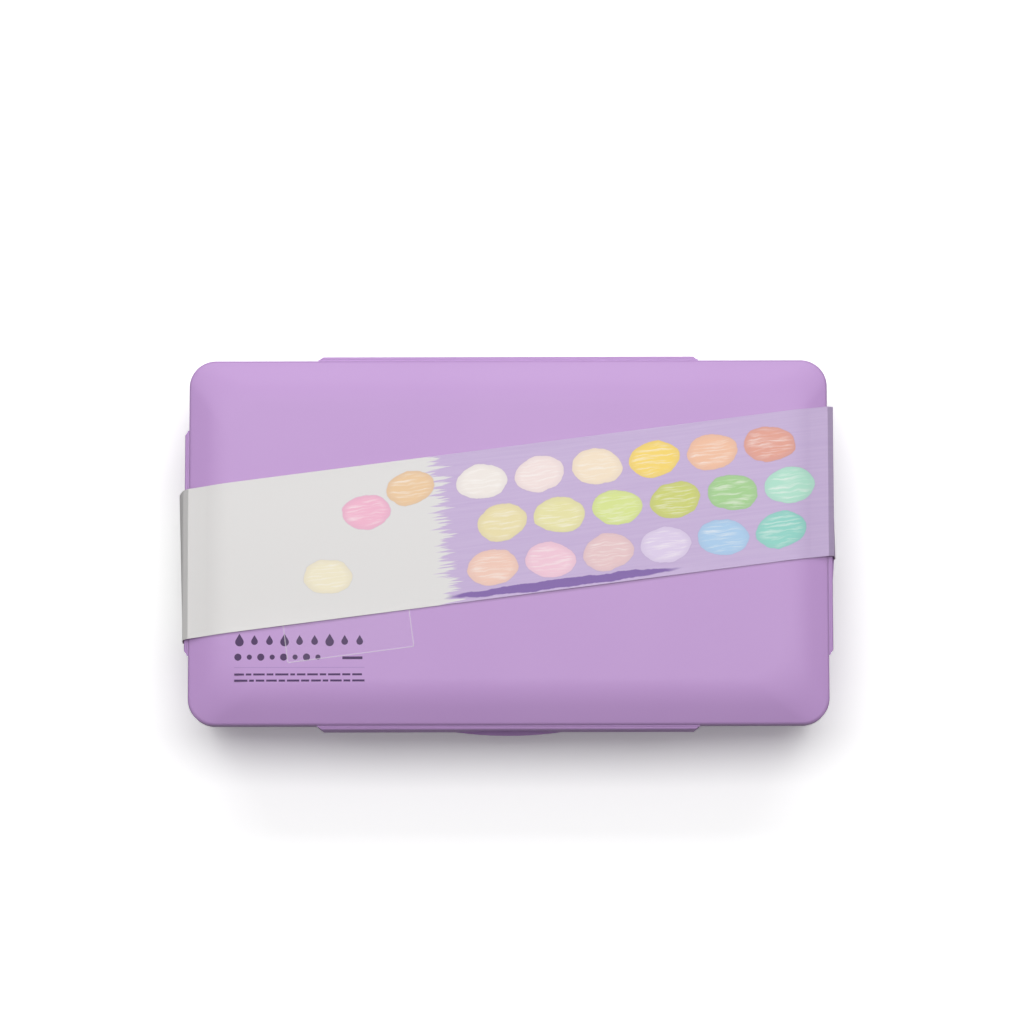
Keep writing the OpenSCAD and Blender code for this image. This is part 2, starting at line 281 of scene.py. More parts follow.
lidShape = {
    "wall": 2.2,
    "crownSteps": 16,
    "skirtBottom": 36.2,
    "skirtRound": 0.4,
    "roundMiddle": 0.3,
    "seatHeight": 41.8,
    "seatWidth": 3.2,
    "seatThickness": 1.6,
    "lipThickness": 1.2,
    "lipBottom": 38.4,
    "cornerSteps": 16,
    "gutterLong": 181.0,
    "gutterShort": 107.6,
    "gutterTop": 1.2,
    "gutterRadius": 0.98,
    "gutterRoot": 0.5,
    "gutterOut": 0.8,
    "gutterEdge": ((-0.6, 0.0), (-0.76, -0.07), (-0.8, -0.2)),
    "gutterSteps": 6,
}


def crownProfile(steps):
    # from the flat top to the lid's edge: distance in from the edge, height, and slope in degrees;
    # it eases into an even slope and ends in a small round
    slope = math.radians(caseSize["crownSlope"])
    steep = math.tan(slope)
    width = caseSize["crownWidth"]
    ease = caseSize["crownEase"]
    edge = caseSize["crownEdge"]
    low = caseSize["crownBottom"]
    rise = edge * math.cos(slope) + steep * (width - ease / 2 - edge * (1 - math.sin(slope)))
    profile = []
    for step in range(steps + 1):
        share = step / steps
        profile.append((width - ease * share, low + rise - steep * ease / 2 * share ** 2,
            math.degrees(math.atan(steep * share))))
    for step in range(caseSize["crownEdgeSteps"] + 1):
        turn = (math.pi / 2 - slope) * (1 - step / caseSize["crownEdgeSteps"])
        profile.append((edge * (1 - math.cos(turn)), low + edge * math.sin(turn), 90 - math.degrees(turn)))
    return profile


lidTop = crownProfile(1)[0][1]


def lidRing(inset, height, corner=None):
    corner = caseSize["lidCorner"] - inset if corner is None else corner
    return roundedRing(caseSize["lidWidth"] - 2 * inset, caseSize["lidDepth"] - 2 * inset, corner, height,
        lidShape["cornerSteps"])


def crownRings(inset, steps):
    # the domed crown from its flat top down to its edge, drawn in by an inset
    sideCorner = caseSize["lidCorner"] - inset
    rings = []
    for distance, height, _ in crownProfile(steps):
        share = distance / caseSize["crownWidth"]
        rings.append(lidRing(inset + distance, height - inset,
            sideCorner + (caseSize["plateauCorner"] - sideCorner) * share))
    return rings


def besideLid(side):
    # side 0 is the front, then anticlockwise; along runs on the side and across points into the lid
    turn = Matrix.Rotation(math.radians(90 * side), 3, "Z")
    edge = (caseSize["lidDepth"] if side % 2 == 0 else caseSize["lidWidth"]) / 2
    return lambda along, across, up: turn @ Vector((along, across - edge, up)) * mm


def gutterOutline():
    # seen from the end: a small rib with a hollow that the latch's bead turns in
    middle = caseSize["hingeHeight"]
    radius = lidShape["gutterRadius"]
    root = lidShape["gutterRoot"]
    top = middle + lidShape["gutterTop"]
    steps = lidShape["gutterSteps"]
    outline = [(root, middle), (root, top)]
    outline += [(across, top + up) for across, up in lidShape["gutterEdge"]]
    start = math.acos((caseSize["hingeOut"] - lidShape["gutterOut"]) / radius)
    for step in range(steps + 1):
        angle = start * (1 - step / steps)
        outline.append((radius * math.cos(angle) - caseSize["hingeOut"], middle + radius * math.sin(angle)))
    return outline


def makeLid():
    wall = lidShape["wall"]
    low = lidShape["skirtBottom"]
    edge = lidShape["skirtRound"]
    seat = wall + lidShape["seatWidth"]
    lip = seat + lidShape["lipThickness"]
    lipLow = lidShape["lipBottom"]
    seatHeight = lidShape["seatHeight"]
    shelf = seatHeight + lidShape["seatThickness"]

    def foot(outer, inner, bottom):
        # the rounded bottom of an upright wall, from its outer to its inner face
        middle = edge * lidShape["roundMiddle"]
        return [(outer, bottom + edge), (outer + middle, bottom + middle), (outer + edge, bottom),
            (inner - edge, bottom), (inner - middle, bottom + middle), (inner, bottom + edge)]

    profile = foot(0.0, wall, low) + [(wall, seatHeight), (seat, seatHeight)]
    profile += foot(seat, lip, lipLow) + [(lip, shelf), (wall, shelf)]
    rings = crownRings(0.0, lidShape["crownSteps"])
    rings += [lidRing(inset, height) for inset, height in profile]
    rings += list(reversed(crownRings(wall, lidShape["crownSteps"])))
    parts = [loft(rings)]
    for side in range(4):
        length = lidShape["gutterShort"] if side % 2 else lidShape["gutterLong"]
        parts.append(prism(gutterOutline(), -length / 2, length / 2, besideLid(side)))
    return buildPiece("lidShell", parts, [lidPlastic])


lidShell = makeLid()
settle(lidShell, "lid", "case_plastic", "lid")


# gasket

gasketShape = {
    "outer": 2.55,
    "inner": 5.4,
    "bottom": 40.0,
    "top": 41.8,
    "round": 0.55,
    "roundSteps": 3,
    "colour": "#E4DDE8",
    "dustSize": 0.5,
    "dustHeight": 0.01,
}


def makeMouldedSilicone():
    # moulded silicone rubber: matt, slightly dusty, with light passing a little way in
    material, tree, place = newMaterial("mouldedSilicone")
    dust = addNode(tree, "ShaderNodeTexNoise",
        {"Vector": place, "Scale": 1 / (gasketShape["dustSize"] * mm), "Detail": 2.0})
    bump = addNode(tree, "ShaderNodeBump",
        {"Height": dust.outputs["Fac"], "Distance": gasketShape["dustHeight"] * mm})
    surface = addNode(tree, "ShaderNodeBsdfPrincipled",
        {"Base Color": linearColour(gasketShape["colour"]), "Roughness": 0.55, "IOR": 1.41,
            "Subsurface Weight": 0.2, "Subsurface Scale": 1.5 * mm, "Normal": bump.outputs["Normal"]})
    return finishMaterial(material, surface)


def makeGasket():
    curve = gasketShape["round"]
    inner = gasketShape["inner"] - curve
    outer = gasketShape["outer"] + curve
    bottom = gasketShape["bottom"] + curve
    top = gasketShape["top"] - curve
    steps = gasketShape["roundSteps"]
    rings = []
    corners = ((inner, bottom, -90), (inner, top, 0), (outer, top, 90), (outer, bottom, 180))
    for inset, height, start in corners:
        for step in range(steps + 1):
            angle = math.radians(start + 90 * step / steps)
            rings.append(lidRing(inset + curve * math.cos(angle), height + curve * math.sin(angle)))
    return buildPiece("gasketRing", [loft(rings, closed=True)], [makeMouldedSilicone()], 60)


settle(makeGasket(), "lid", "gasket_silicone", "lid_gasket")


# latches and tray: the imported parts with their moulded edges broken

edgeRounds = {"latch": 0.22, "tray": 0.3, "mergeWithin": 0.002, "flatWithin": 0.5, "sharpFrom": 38}

for sideName in ("front", "right", "back", "left"):
    nodeName = "latch_" + sideName
    latch = roundedCopy("swingLatch_" + sideName, nodeName, [lidPlastic], edgeRounds["latch"])
    settle(latch, nodeName, "case_plastic", nodeName)

tray = roundedCopy("paintTray", "base_tray", [trayPlastic], edgeRounds["tray"])
settle(tray, "base", "case_plastic", "base_tray")


# cups, eighteen of one moulding set out by a grid of points

cupShape = {
    "columns": 6,
    "rows": 3,
    "width": 48.2,
    "depth": 43.4,
    "height": 33.4,
    "corner": 5.0,
    "flange": 1.0,
    "flangeOut": 2.0,
    "wall": 0.9,
    "taper": 2.3,
    "cornerSteps": 6,
    # small rounds, as (drawn in, up) from the corner that they take off
    "footRound": ((0.5, 0.0), (0.15, 0.15), (0.0, 0.5)),
    "flangeUnderRound": ((0.25, 0.0), (0.0, 0.25)),
    "flangeTopRound": ((0.0, -0.3), (0.1, -0.08), (0.35, 0.0)),
    "mouthRound": ((-0.3, 0.0), (-0.06, -0.1), (0.0, -0.35)),
    "floorRound": ((0.0, 0.8), (0.25, 0.2), (0.9, 0.0)),
    "colour": "#EFEBEE",
    "cloudSize": 9.0,
}


def makeMouldedCupPlastic():
    # thin natural polypropylene: milky, half glossy, letting some of the paint's colour through
    material, tree, place = newMaterial("naturalPolypropylene")
    cloud = addNode(tree, "ShaderNodeTexNoise",
        {"Vector": place, "Scale": 1 / (cupShape["cloudSize"] * mm), "Detail": 2.0})
    gloss = addNode(tree, "ShaderNodeMapRange",
        {"Value": cloud.outputs["Fac"], "To Min": 0.26, "To Max": 0.38})
    surface = addNode(tree, "ShaderNodeBsdfPrincipled",
        {"Base Color": linearColour(cupShape["colour"]), "Roughness": gloss.outputs[0], "IOR": 1.49,
            "Subsurface Weight": 0.35, "Subsurface Scale": 2.0 * mm})
    return finishMaterial(material, surface)


def cupRing(drawnIn, level, sideSteps=1):
    # the tapered body at a level above the cup's bottom, drawn in from its outer wall
    narrow = cupShape["taper"] * (1 - level / cupShape["height"]) + drawnIn + cupShape["flangeOut"]
    return roundedRing(cupShape["width"] - 2 * narrow, cupShape["depth"] - 2 * narrow,
        cupShape["corner"] - drawnIn, level, cupShape["cornerSteps"], sideSteps)


def flangeRing(drawnIn, level):
    return roundedRing(cupShape["width"] - 2 * drawnIn, cupShape["depth"] - 2 * drawnIn,
        cupShape["corner"] - drawnIn, level, cupShape["cornerSteps"])


def makeCupModel():
    high = cupShape["height"]
    under = high - cupShape["flange"]
    wall = cupShape["wall"]
    rings = [cupRing(drawnIn, up) for drawnIn, up in cupShape["footRound"]]
    rings.append(cupRing(0.0, under))
    rings += [flangeRing(drawnIn, under + up) for drawnIn, up in cupShape["flangeUnderRound"]]
    rings += [flangeRing(drawnIn, high + up) for drawnIn, up in cupShape["flangeTopRound"]]
    rings += [cupRing(wall + drawnIn, high + up) for drawnIn, up in cupShape["mouthRound"]]
    rings += [cupRing(wall + drawnIn, wall + up) for drawnIn, up in cupShape["floorRound"]]
    return buildPiece("cupModel", [loft(rings)], [])


# waves that crinkle a thin film once the grid has set it out
gridWaves = {"seed": 7.0, "size": 11.0}


def gridTree(name, model, material):
    # copies of a model on a grid of points, with the grid's sizes and the film's crinkle as inputs
    tree = bpy.data.node_groups.new(name, "GeometryNodeTree")
    face = tree.interface
    sockets = {}
    for label, kind in (("Columns", "Int"), ("Rows", "Int"), ("Pitch X", "Float"), ("Pitch Y", "Float"),
            ("Centre", "Vector"), ("Crinkle", "Float")):
        sockets[label] = face.new_socket(name=label, in_out="INPUT", socket_type="NodeSocket" + kind)
    face.new_socket(name="Geometry", in_out="OUTPUT", socket_type="NodeSocketGeometry")
    given = addNode(tree, "NodeGroupInput").outputs
    spans = []
    for count, pitch in (("Columns", "Pitch X"), ("Rows", "Pitch Y")):
        gaps = addNode(tree, "ShaderNodeMath", {0: given[count], 1: 1.0}, operation="SUBTRACT")
        span = addNode(tree, "ShaderNodeMath", {0: gaps.outputs[0], 1: given[pitch]}, operation="MULTIPLY")
        spans.append(span.outputs[0])
    points = addNode(tree, "GeometryNodeMeshGrid",
        {"Size X": spans[0], "Size Y": spans[1],
            "Vertices X": given["Columns"], "Vertices Y": given["Rows"]})
    copied = addNode(tree, "GeometryNodeObjectInfo", {"Object": model})
    placed = addNode(tree, "GeometryNodeInstanceOnPoints",
        {"Points": points.outputs["Mesh"], "Instance": copied.outputs["Geometry"]})
    moved = addNode(tree, "GeometryNodeTransform",
        {"Geometry": placed.outputs["Instances"], "Translation": given["Centre"]})
    real = addNode(tree, "GeometryNodeRealizeInstances", {"Geometry": moved.outputs["Geometry"]})
    waves = addNode(tree, "ShaderNodeTexNoise",
        {"W": gridWaves["seed"], "Scale": 1 / (gridWaves["size"] * mm), "Detail": 3.0},
        noise_dimensions="4D")
    rise = addNode(tree, "ShaderNodeMath", {0: waves.outputs["Fac"], 1: given["Crinkle"]},
        operation="MULTIPLY")
    lift = addNode(tree, "ShaderNodeCombineXYZ", {"Z": rise.outputs[0]})
    wavy = addNode(tree, "GeometryNodeSetPosition",
        {"Geometry": real.outputs["Geometry"], "Offset": lift.outputs["Vector"]})
    finished = addNode(tree, "GeometryNodeSetMaterial",
        {"Geometry": wavy.outputs["Geometry"], "Material": material})
    addNode(tree, "NodeGroupOutput", {"Geometry": finished.outputs["Geometry"]})
    return tree, sockets


def setOut(name, model, material, height, crinkle=0.0):
    # runs the grid and keeps its result as one plain mesh
    tree, sockets = gridTree(name + "Grid", model, material)
    carrier = addObject(name, bpy.data.meshes.new(name))
    grid = carrier.modifiers.new("grid", "NODES")
    grid.node_group = tree
    centreY = caseSize["cupBackRow"] - caseSize["cupPitchY"] * (cupShape["rows"] - 1) / 2
    for label, value in (("Columns", cupShape["columns"]), ("Rows", cupShape["rows"]),
            ("Pitch X", caseSize["cupPitchX"] * mm), ("Pitch Y", caseSize["cupPitchY"] * mm),
            ("Centre", (0.0, centreY * mm, height * mm)), ("Crinkle", crinkle * mm)):
        grid[sockets[label].identifier] = value
    carrier.update_tag()
    mesh = bpy.data.meshes.new_from_object(carrier.evaluated_get(bpy.context.evaluated_depsgraph_get()))
    carrier.modifiers.clear()
    carrier.data = mesh
    mesh.shade_smooth()
    mesh.set_sharp_from_angle(angle=math.radians(35))
    bpy.data.objects.remove(model, do_unlink=True)
    return carrier


def forEachCup(prefix):
    return [f"{prefix}_{row + 1}_{column + 1}" for row in range(cupShape["rows"])
        for column in range(cupShape["columns"])]


cups = setOut("paintCups", makeCupModel(), makeMouldedCupPlastic(), caseSize["cupFloor"])
settle(cups, "base", "cup_plastic", *forEachCup("cup"))


# gouache in the cups

paintLook = {
    "colours": (
        ("#F3F0E9", "#EBDDD8", "#EBD6C0", "#F0C64E", "#E8A582", "#D67F76"),
        ("#DFCFB4", "#E1D9AE", "#D3DE96", "#BFC566", "#93BA7C", "#A5DAC4"),
        ("#E6C3B5", "#E9C6CE", "#DCC2C6", "#D2C3DE", "#ABC6DC", "#8DC6C6"),
    ),
    "bottom": 0.9,
    "waist": 15.0,
    "surface": 31.2,
    "gap": 0.93,
    "insets": (0.0, 0.35, 0.8, 1.5, 2.6, 4.2, 6.2, 8.6, 11.2, 14.0, 16.6, 18.0),
    "toMiddle": 18.6,
    "sideSteps": 8,
    "meniscus": 0.9,
    "meniscusReach": 1.1,
    "sunk": 0.4,
    "swell": 1.1,
    "swellSize": 17.0,
    "calmReach": 3,
    "stirSize": 6.0,
    "stirHeight": 0.12,
    "deeper": 0.9,
    "seed": 11,
}


def makeGouache(name, colour, seed):
    # gouache as it is poured: an even chalky colour, moist on top, with faint stir marks
    material, tree, place = newMaterial(name)
    stir = addNode(tree, "ShaderNodeTexNoise",
        {"Vector": place, "W": float(seed), "Scale": 1 / (paintLook["stirSize"] * mm), "Detail": 3.0,
            "Distortion": 1.6}, noise_dimensions="4D")
    deep = [value * paintLook["deeper"] for value in linearColour(colour)[:3]] + [1.0]
    tone = addNode(tree, "ShaderNodeMix", {0: stir.outputs["Fac"], 6: deep, 7: linearColour(colour)},
        data_type="RGBA")
    gloss = addNode(tree, "ShaderNodeMapRange",
        {"Value": stir.outputs["Fac"], "To Min": 0.3, "To Max": 0.6})
    bump = addNode(tree, "ShaderNodeBump",
        {"Height": stir.outputs["Fac"], "Distance": paintLook["stirHeight"] * mm})
    surface = addNode(tree, "ShaderNodeBsdfPrincipled",
        {"Base Color": tone.outputs[2], "Roughness": gloss.outputs[0], "IOR": 1.42,
            "Normal": bump.outputs["Normal"]})
    return finishMaterial(material, surface)


def makePaint(row, column):
    # fills the cup's tapered hollow, climbs its wall a little and has settled unevenly
    centre = Vector(((column - (cupShape["columns"] - 1) / 2) * caseSize["cupPitchX"],
        caseSize["cupBackRow"] - row * caseSize["cupPitchY"], caseSize["cupFloor"])) * mm
    seed = paintLook["seed"] + row * cupShape["columns"] + column
    gap = paintLook["gap"]
    sideSteps = paintLook["sideSteps"]
    rings = [cupRing(gap, paintLook[level], sideSteps) for level in ("bottom", "waist")]
    for inset in paintLook["insets"]:
        ring = []
        shrink = 1 - inset / paintLook["toMiddle"]
        climb = paintLook["meniscus"] * math.exp(-inset / paintLook["meniscusReach"])
        calm = 1 - math.exp(-inset / paintLook["calmReach"])
        for point in cupRing(gap, paintLook["surface"], sideSteps):
            flat = Vector((point.x * shrink, point.y * shrink, point.z))
            # the seed moves each cup's swell to a part of the noise of its own
            wave = noise.noise(Vector((flat.x, flat.y, seed * 0.37)) / (paintLook["swellSize"] * mm)
                + Vector((0.0, 0.0, seed * 1.7)))
            flat.z += (climb + paintLook["swell"] * wave * calm - paintLook["sunk"] * calm) * mm
            ring.append(flat)
        rings.append(ring)
    rings = [[point + centre for point in ring] for ring in rings]
    number = f"_{row + 1}_{column + 1}"
    material = makeGouache("pouredGouache" + number, paintLook["colours"][row][column], seed)
    return buildPiece("paint" + number, [loft(rings)], [material], 60), "gouache" + number


for row in range(cupShape["rows"]):
    for column in range(cupShape["columns"]):
        paint, nodeName = makePaint(row, column)
        settle(paint, "base", nodeName, nodeName)


# seal films on the cups

filmShape = {
    "inset": 0.4,
    "thickness": 0.12,
    "corner": 0.5,
    "cornerSteps": 4,
    "sideSteps": 7,
    "insets": (18, 14, 10, 6, 3, 1, 0),
    "crinkle": 0.3,
    "look": {"tint": "#F6F5F8", "veil": 0.09, "roughness": 0.16},
}


def makeClearFilm(name, look):
    # clear cast film: hardly seen but for a faint milky veil and its own reflections in its small folds
    material, tree, place = newMaterial(name)
    fold = addNode(tree, "ShaderNodeTexNoise",
        {"Vector": place, "Scale": 1 / (5 * mm), "Detail": 4.0, "Distortion": 1.2})
    bump = addNode(tree, "ShaderNodeBump", {"Height": fold.outputs["Fac"], "Distance": 0.15 * mm})
    surface = addNode(tree, "ShaderNodeBsdfPrincipled",
        {"Base Color": linearColour(look["tint"]), "Roughness": look["roughness"], "IOR": 1.5,
            "Alpha": look["veil"], "Normal": bump.outputs["Normal"]})
    return finishMaterial(material, surface)


def makeFilmModel():
    width = cupShape["width"] - 2 * filmShape["inset"]
    depth = cupShape["depth"] - 2 * filmShape["inset"]
    corner = cupShape["corner"] - filmShape["inset"]
    insets = filmShape["insets"]
    rings = []
    for height, order in ((0.0, insets), (filmShape["thickness"], reversed(insets))):
        for inset in order:
            rings.append(roundedRing(width - 2 * inset, depth - 2 * inset,
                max(corner - inset, filmShape["corner"]), height, filmShape["cornerSteps"],
                filmShape["sideSteps"]))
    return buildPiece("filmModel", [loft(rings)], [])


films = setOut("sealFilms", makeFilmModel(), makeClearFilm("castSealFilm", filmShape["look"]),
    caseSize["cupFloor"] + cupShape["height"], filmShape["crinkle"])
settle(films, "base", "seal_film", "seal_films_back", "seal_films_middle", "seal_films_front")


# card band

bandShape = {
    "width": 71.4,
    "slant": 7.3,
    "back": 9.1,
    "card": 0.35,
    "gap": 0.12,
    "frontLift": 0.35,
    "backLift": 0.15,
    "liftReach": 0.07,
    "liftFrom": 48.0,
    "liftFull": 52.0,
    "liftWave": 23.0,
    "topSteps": 12,
    "crownSteps": 10,
    "leaveCrown": 6.0,
    # bends on the way down a side, as (x, z, radius, steps)
    "crease": (151.9, 49.7, 0.5, 4),
    "shoulder": (154.7, 45.7, 2.0, 5),
    # over a latch's lip, where x is the first value, and grows by the second for each mm past the third
    "lipRight": (155.4, -0.026, 27.0),
    "lipLeft": (156.75, 0.0275, -6.0),
    "lipBend": (29.8, 4.0, 4),
    "belowLip": (0.6, 6.5),
    "underX": 148.5,
    "underZ": 0.8,
    "underBend": (1.2, 5),
    "sideX": 155.0,
    "columns": 18,
    "lapFrom": 60.0,
    "lapTo": 75.0,
    "lapBite": 0.1,
}

bandPrint = {
    "card": "#DFDDDC",
    "wash": "#CDBADB",
    "washDeep": "#BBA3CF",
    "washStart": -44.0,
    "washFade": 26.0,
    "ink": "#7E5FA6",
    "rim": "#8E7BA0",
    "bristle": "#FBF7F4",
    "board": "#D8D4CC",
    "boardDeep": "#CBC6BC",
    "streakStretch": (0.022, 0.8, 1.0),
    "markStretch": (0.07, 0.9, 1.0),
    "markTurn": 24,
    "ragged": 1.5,
    "raggedSize": 9.0,
    "dabX": 12.2,
    "dabY": 8.6,
    "firstDab": (-10.0, 20.5),
    "dabPitch": (27.5, 20.6),
    "dabShift": 7.0,
    "dabTurn": 9,
    "looseDabSize": 0.95,
    "strokeMiddle": (22.0, -32.4),
    "strokeSize": (58.0, 2.2),
    "dabs": (
        ("#EFE7E1", "#F1DFDC", "#F3E0C6", "#F5D56A", "#F0BE9F", "#E2A08F"),
        ("#E9DCA9", "#E6E0A4", "#D7E38F", "#CBD06F", "#A3CF8E", "#AEE0CB"),
        ("#F0C8B7", "#F0C6D6", "#E6C4C6", "#DCCCE8", "#A9CBEA", "#8FD3C6"),
    ),
    "looseDabs": ((-88.0, -15.0, "#EFE6C9"), (-66.0, 13.0, "#F0B4CC"), (-44.0, 22.0, "#EBC79C")),
}

bandSlant = math.radians(bandShape["slant"])
bandSlope = math.tan(bandSlant)


def roundedPath(corners):
    # corners are (x, z, radius, steps); a corner with no radius stays a plain point
    path = []
    for i, (x, z, radius, steps) in enumerate(corners):
        here = Vector((x, z))
        if radius == 0 or i in (0, len(corners) - 1):
            path.append(here)
            continue
        back = (Vector(corners[i - 1][:2]) - here).normalized()
        ahead = (Vector(corners[i + 1][:2]) - here).normalized()
        half = back.angle(ahead) / 2
        reach = radius / math.tan(half)
        middle = here + (back + ahead).normalized() * radius / math.sin(half)
        start = here + back * reach - middle
        end = here + ahead * reach - middle
        sweep = start.angle_signed(end)
        for step in range(steps + 1):
            angle = -sweep * step / steps
            turned = Vector((start.x * math.cos(angle) - start.y * math.sin(angle),
                start.x * math.sin(angle) + start.y * math.cos(angle)))
            path.append(middle + turned)
    return path


def bandHalf(side, y):
    # outer face of the card from the lid's middle down to the floor's middle, on the right or left
    out = bandShape["gap"] + bandShape["card"]
    flatX = caseSize["lidWidth"] / 2 - caseSize["crownWidth"]
    steps = bandShape["topSteps"]
    corners = [(flatX * step / steps, lidTop + out, 0, 0) for step in range(steps)]
    for distance, height, slope in crownProfile(bandShape["crownSteps"]):
        if distance >= bandShape["leaveCrown"]:
            turn = math.radians(slope)
            corners.append((caseSize["lidWidth"] / 2 - distance + out * math.sin(turn),
                height + out * math.cos(turn), 0, 0))
    # the card stands further off where the slanted band twists over the latch
    start, growth, origin = bandShape["lipRight" if side > 0 else "lipLeft"]
    lipX = start + growth * (y - origin)
    lipZ, *lipBend = bandShape["lipBend"]
    inward, lower = bandShape["belowLip"]
    corners += [bandShape["crease"], bandShape["shoulder"], (lipX, lipZ, *lipBend),
        (lipX - inward, lipZ - lower, *lipBend),
        (bandShape["underX"], bandShape["underZ"], *bandShape["underBend"]), (0, bandShape["underZ"], 0, 0)]
    return roundedPath(corners)


def bandSection(share):
    # the whole loop at one place across the band: share 0 is its front edge, 1 its back edge
    across = bandShape["back"] + (share - 0.5) * bandShape["width"]
    right = bandHalf(1, across + bandShape["sideX"] * bandSlope)
    left = bandHalf(-1, across - bandShape["sideX"] * bandSlope)
    loop = right + [Vector((-point.x, point.y)) for point in reversed(left[1:-1])]
    outer = []
    inner = []
    frontLift = bandShape["frontLift"] * math.exp(-share / bandShape["liftReach"])
    backLift = bandShape["backLift"] * math.exp((share - 1) / bandShape["liftReach"])
    liftSpan = bandShape["liftFull"] - bandShape["liftFrom"]
    for i, point in enumerate(loop):
        ahead = (loop[(i + 1) % len(loop)] - loop[i - 1]).normalized()
        pressed = point - Vector((-ahead.y, ahead.x)) * bandShape["card"]
        fade = min(1.0, max(0.0, (point.y - bandShape["liftFrom"]) / liftSpan))
        lift = (frontLift * (1 + 0.5 * math.sin(point.x / bandShape["liftWave"])) + backLift) * fade
        for flat, ring in ((point, outer), (pressed, inner)):
            ring.append(Vector((flat.x, across + flat.x * bandSlope, flat.y + lift)) * mm)
    return outer, inner


def makePrintedCard():
    # coated carton board: smooth and half matt; its print is a broad lavender brush wash with
    # round dabs of pastel paint and one dark stroke, laid out along the band
    material, tree, place = newMaterial("coatedPrintedBoard")
    # millimetres along the band and across it, from its middle
    back = bandShape["back"]
    along = addNode(tree, "ShaderNodeMapping",
        {"Vector": place, "Scale": (1000.0, 1000.0, 0.0), "Rotation": (0.0, 0.0, -bandSlant),
            "Location": (-back * math.sin(bandSlant), -back * math.cos(bandSlant), 0.0)})
    ragged = addNode(tree, "ShaderNodeTexNoise",
        {"Vector": along.outputs[0], "Scale": 1 / bandPrint["raggedSize"], "Detail": 3.0})
    offset = addNode(tree, "ShaderNodeVectorMath", {0: ragged.outputs["Color"], 1: (0.5, 0.5, 0.5)},
        operation="SUBTRACT")
    wander = (2 * bandPrint["ragged"], 2 * bandPrint["ragged"], 0.0)
    shifted = addNode(tree, "ShaderNodeVectorMath", {0: offset.outputs[0], 1: wander, 2: along.outputs[0]},
        operation="MULTIPLY_ADD").outputs[0]
    # bristle streaks, about a millimetre wide; the wash breaks up into them where the brush set down
    streakPlace = addNode(tree, "ShaderNodeMapping",
        {"Vector": along.outputs[0], "Scale": bandPrint["streakStretch"]})
    streaks = addNode(tree, "ShaderNodeTexNoise",
        {"Vector": streakPlace.outputs[0], "Scale": 1.0, "Detail": 3.0, "Roughness": 0.65}).outputs["Fac"]
    parts = addNode(tree, "ShaderNodeSeparateXYZ", {0: shifted})
    loaded = addNode(tree, "ShaderNodeMapRange", {"Value": parts.outputs["X"],
        "From Min": bandPrint["washStart"], "From Max": bandPrint["washStart"] + bandPrint["washFade"],
        "To Min": -0.35, "To Max": 0.35})
    cover = addNode(tree, "ShaderNodeMath", {0: loaded.outputs[0], 1: streaks}, operation="ADD")
    washed = addNode(tree, "ShaderNodeMapRange",
        {"Value": cover.outputs[0], "From Min": 0.47, "From Max": 0.53})
    inks = ("card", "wash", "washDeep", "ink", "rim", "bristle")
    ink = {key: linearColour(bandPrint[key]) for key in inks}
    washTone = addNode(tree, "ShaderNodeMix", {0: streaks, 6: ink["washDeep"], 7: ink["wash"]},
        data_type="RGBA")
    colour = addNode(tree, "ShaderNodeMix", {0: washed.outputs[0], 6: ink["card"], 7: washTone.outputs[2]},
        data_type="RGBA").outputs[2]

    firstX, firstY = bandPrint["firstDab"]
    pitchX, pitchY = bandPrint["dabPitch"]
    dabs = []
    for row, shades in enumerate(bandPrint["dabs"]):
        for column, shade in enumerate(shades):
            x = firstX + pitchX * column + bandPrint["dabShift"] * (row % 2)
            dabs.append((x, firstY - pitchY * row, 1.0, shade))
    dabs += [(x, y, bandPrint["looseDabSize"], shade) for x, y, shade in bandPrint["looseDabs"]]
    # nearest is how far the nearest dab is, in dab sizes, and starts from farther than any counts
    nearest = 9.0
    for i, (x, y, size, shade) in enumerate(dabs):
        # each dab is turned a little its own way
        turn = math.radians(bandPrint["dabTurn"] * math.sin(i * 2.3))
        local = addNode(tree, "ShaderNodeMapping",
            {"Vector": shifted, "Location": (x, y, 0.0), "Rotation": (0.0, 0.0, turn),
                "Scale": (bandPrint["dabX"] * size, bandPrint["dabY"] * size, 1.0)}, vector_type="TEXTURE")
        away = addNode(tree, "ShaderNodeVectorMath", {0: local.outputs[0]}, operation="LENGTH")
        away = away.outputs["Value"]
        inside = addNode(tree, "ShaderNodeMapRange", {"Value": away, "From Min": 1.0, "From Max": 0.975})
        colour = addNode(tree, "ShaderNodeMix", {0: inside.outputs[0], 6: colour, 7: linearColour(shade)},
            data_type="RGBA").outputs[2]
        nearest = addNode(tree, "ShaderNodeMath", {0: away, 1: nearest}, operation="MINIMUM").outputs[0]
    # pale marks of the bristles across each dab
    markPlace = addNode(tree, "ShaderNodeMapping",
        {"Vector": shifted, "Rotation": (0.0, 0.0, math.radians(bandPrint["markTurn"])),
            "Scale": bandPrint["markStretch"]})
    bristles = addNode(tree, "ShaderNodeTexNoise",
        {"Vector": markPlace.outputs[0], "Scale": 1.0, "Detail": 3.0})
    pale = addNode(tree, "ShaderNodeMapRange",
        {"Value": bristles.outputs["Fac"], "From Min": 0.48, "From Max": 0.7, "To Min": 0.0, "To Max": 0.5})
    within = addNode(tree, "ShaderNodeMapRange", {"Value": nearest, "From Min": 0.95, "From Max": 0.7})
    paleShare = addNode(tree, "ShaderNodeMath", {0: pale.outputs[0], 1: within.outputs[0]},
        operation="MULTIPLY")
